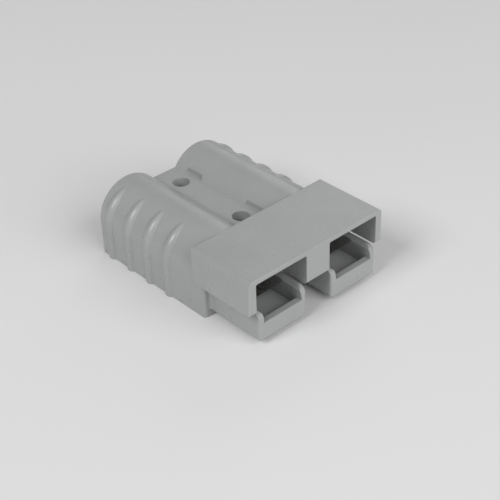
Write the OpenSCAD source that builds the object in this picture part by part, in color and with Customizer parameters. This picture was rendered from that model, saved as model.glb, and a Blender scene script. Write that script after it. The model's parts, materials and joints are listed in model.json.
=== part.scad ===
// Genderless two-pole power connector housing with its two leaf springs.
// Millimetres, +Z up. The part rests on z = 0, centred on x = 0 and y = 0.
// The mating end faces -Y and the cable end faces +Y. Inside the modules,
// y runs from the nose of the troughs (0) to the cable end (body_l).

/* [Housing] */
// Length from the nose to the cable end
body_l = 47.6; // [46:0.2:56]
// Height, shared by the hood and the barrels
body_h = 15.8; // [15.4:0.1:17]
// Distance between the centres of the two poles
pole_pitch = 19.6; // [19:0.1:21]
// Depth of the mating half, from the nose to the stop face
mate_l = 14.1; // [13.5:0.1:15]

/* [Hood] */
// Width of the hood at its lower edge
hood_w = 36.6; // [36.2:0.1:36.8]
// Depth of the hood
hood_l = 17; // [16.4:0.1:17.6]
// Thickness of the hood's top wall
hood_top_t = 1.0; // [0.8:0.1:1.2]
// Thickness of the hood's side walls
hood_side_t = 1.9; // [1.6:0.1:2.0]
// Narrowing of each hood side from its lower edge to its top
hood_draft = 0.15; // [0:0.05:0.3]
// Width of the key that divides the hood into two sockets
key_w = 6.3; // [5.6:0.1:6.6]

/* [Troughs] */
// Outside width of a trough
trough_w = 12.6; // [12.4:0.1:12.8]
// Thickness of a trough's side walls
trough_t = 1.3; // [1.1:0.1:1.5]
// Thickness of a trough's front wall
front_t = 1.4; // [1.1:0.1:1.6]
// Height of the front wall's top above the resting plane
front_h = 5.2; // [4.6:0.1:5.8]
// Height of the trough's floor above the resting plane
floor_h = 3.4; // [3:0.1:3.8]

/* [Barrels] */
// Radius of the cable entry in each barrel
bore_r = 5.6; // [5:0.1:6]
// Depth of the cable entry
bore_l = 17.6; // [14:0.1:19]
// Number of grip ribs on each side
rib_n = 4; // [2:1:4]
// Distance from one rib's crest to the next
rib_pitch = 6.3; // [5.8:0.1:6.5]
// Height of a rib over the side of the barrel
rib_h = 0.6; // [0.3:0.05:0.8]

/* [Mounting] */
// Distance between the two mounting holes
hole_pitch = 19.05; // [18:0.05:19.5]
// Radius of the mounting holes
hole_r = 1.9; // [1.5:0.05:2.2]
// Height of the web that the mounting holes go through
web_h = 12.3; // [11:0.1:13]
// Width across the flats of the hexagonal seats that keep a nut from turning
nut_flats = 8.1; // [7.2:0.1:8.6]

/* [Leaf springs] */
// Thickness of the spring strip
leaf_t = 0.45; // [0.3:0.05:0.5]
// Distance from the nose to the spring's free edge
leaf_y = 5.2; // [4.6:0.1:6]

/* [Hidden] */
$fn = 96;
eps = 0.01;                              // overlap of cutters that meet
over = 1;                                // how far a cutter runs past a face

mate_z = body_h / 2;                     // the plane on which two halves meet
mate_gap = 0.05;                         // each half stays this far off it
pole_x = pole_pitch / 2;
barrel_r = body_h / 2;                   // the barrel fills the whole height
side_x = pole_x + barrel_r;              // outer side of the barrels

hood_y = 0.2;                            // the hood starts just behind the nose
hood_rim_r = 0.5;                        // front vertical corners of the hood
hood_edge_r = 1.0;                       // long top edges and rear corners
hood_foot_r = 0.8;                       // lower front corners of the side walls
hood_lip_r = 0.25;                       // front edge of the top wall
ceiling_z = body_h - hood_top_t;
socket_x = hood_w / 2 - hood_side_t;     // inner side of the hood
socket_l = mate_l + hood_y + 0.1;        // depth of the two sockets
socket_r = 0.4;                          // their upper corners
key_lead = 0.5;                          // bevel under the key's front edge

trough_z = hood_top_t + 0.3;             // the other half's top wall slides below
trough_top = mate_z - mate_gap;
trough_in = trough_w / 2 - trough_t;     // half the inside width
trough_nose_r = 0.6;                     // front vertical corners
trough_keel_r = 0.5;                     // long lower edges
trough_lead_r = 2.0;                     // front ends of the side walls
trough_bevel = 0.65;                     // bevel along the inner top edges
corner_r = 0.8;                          // front corners of the rear body
heel_r = 0.8;                            // hollow between stop face and trough

end_r = 0.5;                             // rounding round the cable end
pass_top = 11.2;                         // top of the contact's passage
pass_l = body_l - bore_l - front_t;      // its length, from the front wall

rib_r = 1.4;                             // radius of the bead that forms a rib
rib_ring_r = 6.9;                        // radius of the arc that the bead follows
rib_rise = 0.6;                          // height of the arc's centre over the pole
rib_out = barrel_r + rib_h - rib_ring_r; // its distance outside the pole
rib_y = 25.4;                            // crest of the first rib

hole_y = 22.4;                           // the mounting hole nearer to the hood

leaf_z = 7.1;                            // underside of the spring's free end
leaf_seat_z = 5.6;                       // floor of the grooves that hold it
leaf_gap = 0.1;                          // side clearance of the free part
leaf_tip_l = 2.2;                        // flat stretch at the free end
leaf_seat_y = 20;                        // front end of the held part
leaf_end_y = 27.6;                       // rear end of the held part
leaf_tab = 0.5;                          // how far the held part widens
groove_h = 0.5;                          // height of the grooves

// Extrudes an outline drawn in x and z along y.
module along_y(y0, y1) {
    translate([0, y1, 0]) rotate([90, 0, 0]) linear_extrude(y1 - y0) children();
}

// Extrudes an outline drawn in y and z along x.
module along_x(x0, x1) {
    translate([x0, 0, 0]) rotate([90, 0, 90]) linear_extrude(x1 - x0) children();
}

// Turns an outline drawn in radius and y about the pole's axis.
module about_pole() {
    translate([pole_x, 0, mate_z]) rotate([-90, 0, 0]) rotate_extrude() children();
}

// A rectangle with its own radius at each corner, in the order
// low-low, high-low, high-high, low-high.
module soft_rect(x0, x1, y0, y1, radii) {
    corners = [[x0, y0, 1, 1], [x1, y0, -1, 1], [x1, y1, -1, -1], [x0, y1, 1, -1]];
    difference() {
        translate([x0, y0]) square([x1 - x0, y1 - y0]);
        for (i = [0:3])
            if (radii[i] > 0) {
                c = corners[i];
                translate([c[0], c[1]]) scale_sign(c[2], c[3]) corner_waste(radii[i]);
            }
    }
}

// Mirrors an outline into the quadrant given by two signs.
module scale_sign(sx, sy) {
    mirror([sx < 0 ? 1 : 0, 0]) mirror([0, sy < 0 ? 1 : 0]) children();
}

// What rounding takes off a square corner at the origin.
module corner_waste(r) {
    difference() {
        translate([-over, -over]) square(r + over);
        translate([r, r]) circle(r = r);
        translate([r, -2 * over]) square(r + 3 * over);
        translate([-2 * over, r]) square(r + 3 * over);
    }
}

// Both poles: the children on the +X side and their mirror image.
module both_sides() {
    children();
    mirror([1, 0, 0]) children();
}

// The hood: a drafted box over the mating half.
module hood() {
    intersection() {
        along_y(hood_y, hood_y + hood_l) hood_front_outline();
        linear_extrude(body_h)
            soft_rect(-hood_w / 2, hood_w / 2, hood_y, hood_y + hood_l,
                      [hood_rim_r, hood_rim_r, hood_edge_r, hood_edge_r]);
        along_x(-hood_w / 2, hood_w / 2)
            soft_rect(hood_y, hood_y + hood_l, mate_z + mate_gap, body_h,
                      [hood_foot_r, 0, hood_edge_r / 2, hood_lip_r]);
    }
}

// The hood seen from the front, with its drafted sides.
module hood_front_outline() {
    low = hood_w / 2;
    high = low - hood_draft;
    soft = hood_edge_r;
    polygon([[-low, mate_z], [low, mate_z], [high, body_h - soft], [-high, body_h - soft]]);
    translate([-high, body_h - 2 * soft]) square([2 * high, soft]);
    translate([-high + soft, body_h - 2 * soft]) square([2 * (high - soft), 2 * soft]);
    for (s = [-1, 1]) translate([s * (high - soft), body_h - soft]) circle(r = soft);
}

// The two sockets under the hood, with the key left standing between them.
module sockets() {
    both_sides()
        along_y(-over, socket_l)
            soft_rect(key_w / 2, socket_x, mate_z - over, ceiling_z,
                      [0, 0, socket_r, socket_r]);
}

// What is cut from under the hood: its full width below the key.
module key_clearance() {
    along_x(-socket_x, socket_x)
        polygon([[-over, mate_z - over], [socket_l, mate_z - over], [socket_l, mate_z + mate_gap],
                 [hood_y + key_lead, mate_z + mate_gap], [hood_y, mate_z + mate_gap + key_lead],
                 [-over, mate_z + mate_gap + key_lead]]);
}

// One open trough on the +X side, as a solid bar.
module trough_bar() {
    x0 = pole_x - trough_w / 2;
    x1 = pole_x + trough_w / 2;
    end = mate_l + corner_r;
    intersection() {
        linear_extrude(body_h)
            soft_rect(x0, x1, 0, end, [trough_nose_r, trough_nose_r, 0, 0]);
        along_y(0, end)
            soft_rect(x0, x1, trough_z, trough_top, [trough_keel_r, trough_keel_r, 0, 0]);
        along_x(x0, x1)
            soft_rect(0, end, trough_z, trough_top, [0, 0, 0, trough_lead_r]);
    }
}

// The inside of one trough and the contact's passage behind it.
module trough_inside() {
    translate([pole_x - trough_in, front_t, floor_h])
        cube([2 * trough_in, pass_l + eps, pass_top - floor_h]);
    translate([pole_x - trough_in, -over, front_h])
        cube([2 * trough_in, front_t + over + eps, mate_z + over - front_h]);
    along_y(-over, mate_l)
        polygon([[pole_x - trough_in, trough_top - trough_bevel],
                 [pole_x + trough_in, trough_top - trough_bevel],
                 [pole_x + trough_in + trough_bevel, trough_top],
                 [pole_x + trough_in + trough_bevel, trough_top + over],
                 [pole_x - trough_in - trough_bevel, trough_top + over],
                 [pole_x - trough_in - trough_bevel, trough_top]]);
}

// The hollow curve where the stop face meets a trough's outer side.
module heel() {
    x = pole_x + trough_w / 2;
    z = trough_z + trough_keel_r;
    translate([0, 0, z]) linear_extrude(trough_top - z)
        difference() {
            translate([x - over, mate_l - heel_r]) square(heel_r + over);
            translate([x + heel_r, mate_l - heel_r]) circle(r = heel_r);
        }
}

// The lower half of the rear body, flat underneath, with rounded corners.
module rear_base() {
    linear_extrude(mate_z)
        soft_rect(-side_x, side_x, mate_l, body_l, [corner_r, corner_r, end_r, end_r]);
}

// One round barrel, its top half standing on the base.
module barrel() {
    intersection() {
        about_pole() soft_rect(0, barrel_r, mate_l + corner_r, body_l, [0, 0, end_r, 0]);
        translate([0, 0, mate_z]) linear_extrude(body_h)
            translate([0, mate_l]) square([side_x + over, body_l]);
    }
}

// The web between the barrels.
module web() {
    along_x(-pole_x, pole_x)
        soft_rect(mate_l + corner_r, body_l, 0, web_h, [0, 0, end_r, 0]);
}

// The bead of a rib, drawn at its distance from the centre of its arc.
module rib_section() {
    translate([rib_ring_r - rib_r, 0]) circle(r = rib_r);
}

// One grip rib: a straight foot, and above it a quarter ring that sinks into
// the barrel towards the top.
module rib(y) {
    translate([pole_x + rib_out, y, 0]) {
        linear_extrude(mate_z + rib_rise) rib_section();
        translate([0, 0, mate_z + rib_rise]) intersection() {
            rotate([-90, 0, 0]) rotate_extrude() rib_section();
            translate([0, -rib_r - over, 0]) cube(body_h);
        }
    }
}

// The cable entry of one pole.
module cable_entry() {
    translate([pole_x, body_l + over, mate_z]) rotate([90, 0, 0])
        cylinder(r = bore_r, h = bore_l + over);
}

// The two grooves that hold the rear part of one leaf spring.
module leaf_grooves() {
    w = trough_in + leaf_tab + leaf_gap;
    translate([pole_x - w, leaf_seat_y - leaf_tab, leaf_seat_z])
        cube([2 * w, body_l - bore_l - leaf_seat_y + leaf_tab + eps, groove_h]);
}

// The mounting holes and the hexagonal nut seats above the web.
module mounting_holes() {
    for (i = [0, 1])
        translate([0, hole_y + i * hole_pitch, 0]) {
            translate([0, 0, -over]) cylinder(r = hole_r, h = body_h);
            translate([0, 0, web_h]) rotate([0, 0, 30])
                cylinder(r = nut_flats / sqrt(3), h = body_h, $fn = 6);
        }
}

module housing() {
    color("#9a9d9c")
    translate([0, -body_l / 2, 0])
    difference() {
        union() {
            difference() {
                hood();
                sockets();
                key_clearance();
            }
            rear_base();
            web();
            both_sides() {
                trough_bar();
                heel();
                barrel();
                for (i = [0:rib_n - 1]) rib(rib_y + i * rib_pitch);
            }
        }
        both_sides() {
            trough_inside();
            cable_entry();
            leaf_grooves();
        }
        mounting_holes();
    }
}

// A leaf spring from the side: held flat at the rear, rising to a flat tip.
module leaf_outline() {
    low = [[leaf_y, leaf_z], [leaf_y + leaf_tip_l, leaf_z],
           [leaf_seat_y, leaf_seat_z], [leaf_end_y, leaf_seat_z]];
    high = [for (i = [3:-1:0]) low[i] + [0, leaf_t]];
    polygon(concat(low, high));
}

// A leaf spring on the +X side, wider where the grooves hold it.
module leaf_spring() {
    free = trough_in - leaf_gap;
    held = trough_in + leaf_tab;
    intersection() {
        along_x(pole_x - held, pole_x + held) leaf_outline();
        linear_extrude(body_h) union() {
            translate([pole_x - free, leaf_y]) square([2 * free, leaf_end_y - leaf_y]);
            translate([pole_x - held, leaf_seat_y]) square([2 * held, leaf_end_y - leaf_seat_y]);
        }
    }
}

module right_leaf_spring() {
    color("#8d9090") translate([0, -body_l / 2, 0]) leaf_spring();
}

module left_leaf_spring() {
    color("#8d9090") translate([0, -body_l / 2, 0]) mirror([1, 0, 0]) leaf_spring();
}

housing();
left_leaf_spring();
right_leaf_spring();
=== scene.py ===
"""The looks of a genderless two-pole power connector: a grey moulded housing with two leaf springs.

Metres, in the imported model's frame: +Z up, the mating end towards -Y and the cable end towards +Y.
The CAD nodes keep their shapes. This script gives them their materials, and makes the floor, the
lights and the camera.
"""

import json
import math

import bpy
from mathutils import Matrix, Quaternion, Vector

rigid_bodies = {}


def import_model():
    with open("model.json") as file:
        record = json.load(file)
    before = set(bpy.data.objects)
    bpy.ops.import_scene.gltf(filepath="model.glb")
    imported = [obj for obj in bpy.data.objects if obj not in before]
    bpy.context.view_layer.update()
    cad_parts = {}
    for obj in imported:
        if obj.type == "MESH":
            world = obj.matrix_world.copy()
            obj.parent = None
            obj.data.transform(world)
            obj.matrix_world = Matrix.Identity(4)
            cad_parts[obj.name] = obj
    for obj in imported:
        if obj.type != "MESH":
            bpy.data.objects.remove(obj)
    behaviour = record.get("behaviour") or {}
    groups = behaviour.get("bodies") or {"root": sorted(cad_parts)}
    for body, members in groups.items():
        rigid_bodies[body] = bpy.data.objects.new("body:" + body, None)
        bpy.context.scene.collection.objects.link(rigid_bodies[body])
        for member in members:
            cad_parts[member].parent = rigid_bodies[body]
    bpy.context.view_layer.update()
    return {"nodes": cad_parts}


MM = 0.001
FLOOR_HALF = 3.0

# The view: where the camera stands round the object, and what it looks at.
VIEW_AZIMUTH = math.radians(-41.47)
VIEW_ELEVATION = math.radians(34.73)
VIEW_ROLL = math.radians(-2.25)
VIEW_DISTANCE = 240.7 * MM
VIEW_TARGET = Vector((-2.12, -6.19, 7.19)) * MM
LENS_MM = 85.0
SENSOR_MM = 36.0

# The light: how far each lamp stands from the object, and how bright the surround is.
LAMP_DISTANCE = 1.0
SURROUND_STRENGTH = 0.22


def empty_scene():
    """Removes the objects that a new Blender file starts with."""
    for thing in list(bpy.data.objects):
        bpy.data.objects.remove(thing)


def link(thing):
    """Adds an object to the scene."""
    bpy.context.scene.collection.objects.link(thing)
    return thing


def direction(azimuth, elevation):
    """The way from the object to where something stands, with azimuth 0 in front of the nose."""
    flat = math.cos(elevation)
    return Vector((math.sin(azimuth) * flat, -math.cos(azimuth) * flat, math.sin(elevation)))


# ---------------------------------------------------------------- materials


def new_material(name):
    """A node material with nothing but its Principled shader, as (material, node tree, shader)."""
    material = bpy.data.materials.new(name)
    material.use_nodes = True
    tree = material.node_tree
    shader = tree.nodes["Principled BSDF"]
    return material, tree, shader


def noise(tree, scale, detail, roughness=0.5):
    """A noise texture in the object's own coordinates, at so many cells per metre."""
    place = tree.nodes.new("ShaderNodeTexCoord")
    texture = tree.nodes.new("ShaderNodeTexNoise")
    texture.inputs["Scale"].default_value = scale
    texture.inputs["Detail"].default_value = detail
    texture.inputs["Roughness"].default_value = roughness
    tree.links.new(place.outputs["Object"], texture.inputs["Vector"])
    return texture.outputs["Fac"]


def ramp(tree, factor, low, high, start=0.3, end=0.7):
    """Maps a factor onto a range of colours or values."""
    node = tree.nodes.new("ShaderNodeValToRGB")
    first, last = node.color_ramp.elements
    first.position, last.position = start, end
    first.color = (*low, 1)
    last.color = (*high, 1)
    tree.links.new(factor, node.inputs["Fac"])
    return node.outputs["Color"]


def grey(value):
    """A neutral colour."""
    return (value, value, value)


def moulded_plastic():
    """Mid-grey glossy moulded plastic, with a faint mottling and a soft, slightly uneven surface."""
    material, tree, shader = new_material("moulded_plastic")
    mottling = noise(tree, scale=160, detail=3)
    unevenness = noise(tree, scale=420, detail=4)
    grain = noise(tree, scale=900, detail=4, roughness=0.6)
    tint = ramp(tree, mottling, (0.335, 0.343, 0.340), (0.355, 0.362, 0.360))
    gloss = ramp(tree, unevenness, grey(0.26), grey(0.34))
    bevel = tree.nodes.new("ShaderNodeBevel")
    bevel.samples = 6
    bevel.inputs["Radius"].default_value = 0.18 * MM
    bump = tree.nodes.new("ShaderNodeBump")
    bump.inputs["Strength"].default_value = 0.25
    bump.inputs["Distance"].default_value = 0.05 * MM
    tree.links.new(grain, bump.inputs["Height"])
    tree.links.new(bevel.outputs["Normal"], bump.inputs["Normal"])
    tree.links.new(tint, shader.inputs["Base Color"])
    tree.links.new(gloss, shader.inputs["Roughness"])
    tree.links.new(bump.outputs["Normal"], shader.inputs["Normal"])
    shader.inputs["IOR"].default_value = 1.5
    return material


def spring_steel():
    """Bright rolled spring steel, with a slightly uneven gloss."""
    material, tree, shader = new_material("spring_steel")
    shader.inputs["Metallic"].default_value = 1.0
    shader.inputs["Base Color"].default_value = (0.62, 0.62, 0.60, 1)
    gloss = ramp(tree, noise(tree, scale=700, detail=3), grey(0.16), grey(0.26))
    tree.links.new(gloss, shader.inputs["Roughness"])
    return material


def pale_paper():
    """The pale matt floor."""
    material, tree, shader = new_material("pale_paper")
    tint = ramp(tree, noise(tree, scale=6, detail=2), grey(0.755), grey(0.775))
    tree.links.new(tint, shader.inputs["Base Color"])
    shader.inputs["Roughness"].default_value = 0.9
    shader.inputs["Specular IOR Level"].default_value = 0.1
    return material


def dress(node, material):
    """Gives every slot of a CAD node one material."""
    slots = frame["nodes"][node].data.materials
    for i in range(len(slots)):
        slots[i] = material


# ------------------------------------------------------------------- stage


def floor():
    """A wide pale floor at the height that the part rests on."""
    mesh = bpy.data.meshes.new("floor")
    half = FLOOR_HALF
    corners = [(-half, -half, 0), (half, -half, 0), (half, half, 0), (-half, half, 0)]
    mesh.from_pydata(corners, [], [(0, 1, 2, 3)])
    thing = link(bpy.data.objects.new("floor", mesh))
    mesh.materials.append(pale_paper())


def area_light(name, azimuth, elevation, size, power):
    """A square lamp at LAMP_DISTANCE from the object, with azimuth 0 in front and 180 behind."""
    data = bpy.data.lights.new(name, "AREA")
    data.shape = "SQUARE"
    data.size = size
    data.energy = power
    lamp = link(bpy.data.objects.new(name, data))
    back = direction(math.radians(azimuth), math.radians(elevation))
    lamp.location = back * LAMP_DISTANCE
    lamp.rotation_mode = "QUATERNION"
    lamp.rotation_quaternion = back.to_track_quat("Z", "Y")


def lights():
    """Soft studio light: a lamp on the left, a broad one in front, a weak one behind on the right."""
    area_light("left_lamp", azimuth=-90, elevation=44, size=0.45, power=5.0)
    area_light("front_lamp", azimuth=4, elevation=31, size=0.9, power=7.4)
    area_light("back_lamp", azimuth=120, elevation=25, size=0.6, power=1.1)
    world = bpy.data.worlds.new("surround")
    world.use_nodes = True
    background = world.node_tree.nodes["Background"]
    background.inputs["Color"].default_value = (1, 1, 1, 1)
    background.inputs["Strength"].default_value = SURROUND_STRENGTH
    bpy.context.scene.world = world


def camera():
    """The camera, level with the view's own slight roll."""
    back = direction(VIEW_AZIMUTH, VIEW_ELEVATION)
    data = bpy.data.cameras.new("camera")
    data.lens = LENS_MM
    data.sensor_width = SENSOR_MM
    data.clip_start = 0.01
    data.clip_end = 20
    thing = link(bpy.data.objects.new("camera", data))
    thing.location = VIEW_TARGET + back * VIEW_DISTANCE
    thing.rotation_mode = "QUATERNION"
    level = (-back).to_track_quat("-Z", "Y")
    thing.rotation_quaternion = level @ Quaternion((0, 0, 1), VIEW_ROLL)
    bpy.context.scene.camera = thing


empty_scene()
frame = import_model()
camera()
lights()
floor()
dress("housing", moulded_plastic())
steel = spring_steel()
dress("left_leaf_spring", steel)
dress("right_leaf_spring", steel)
bpy.context.scene.view_settings.view_transform = "Standard"
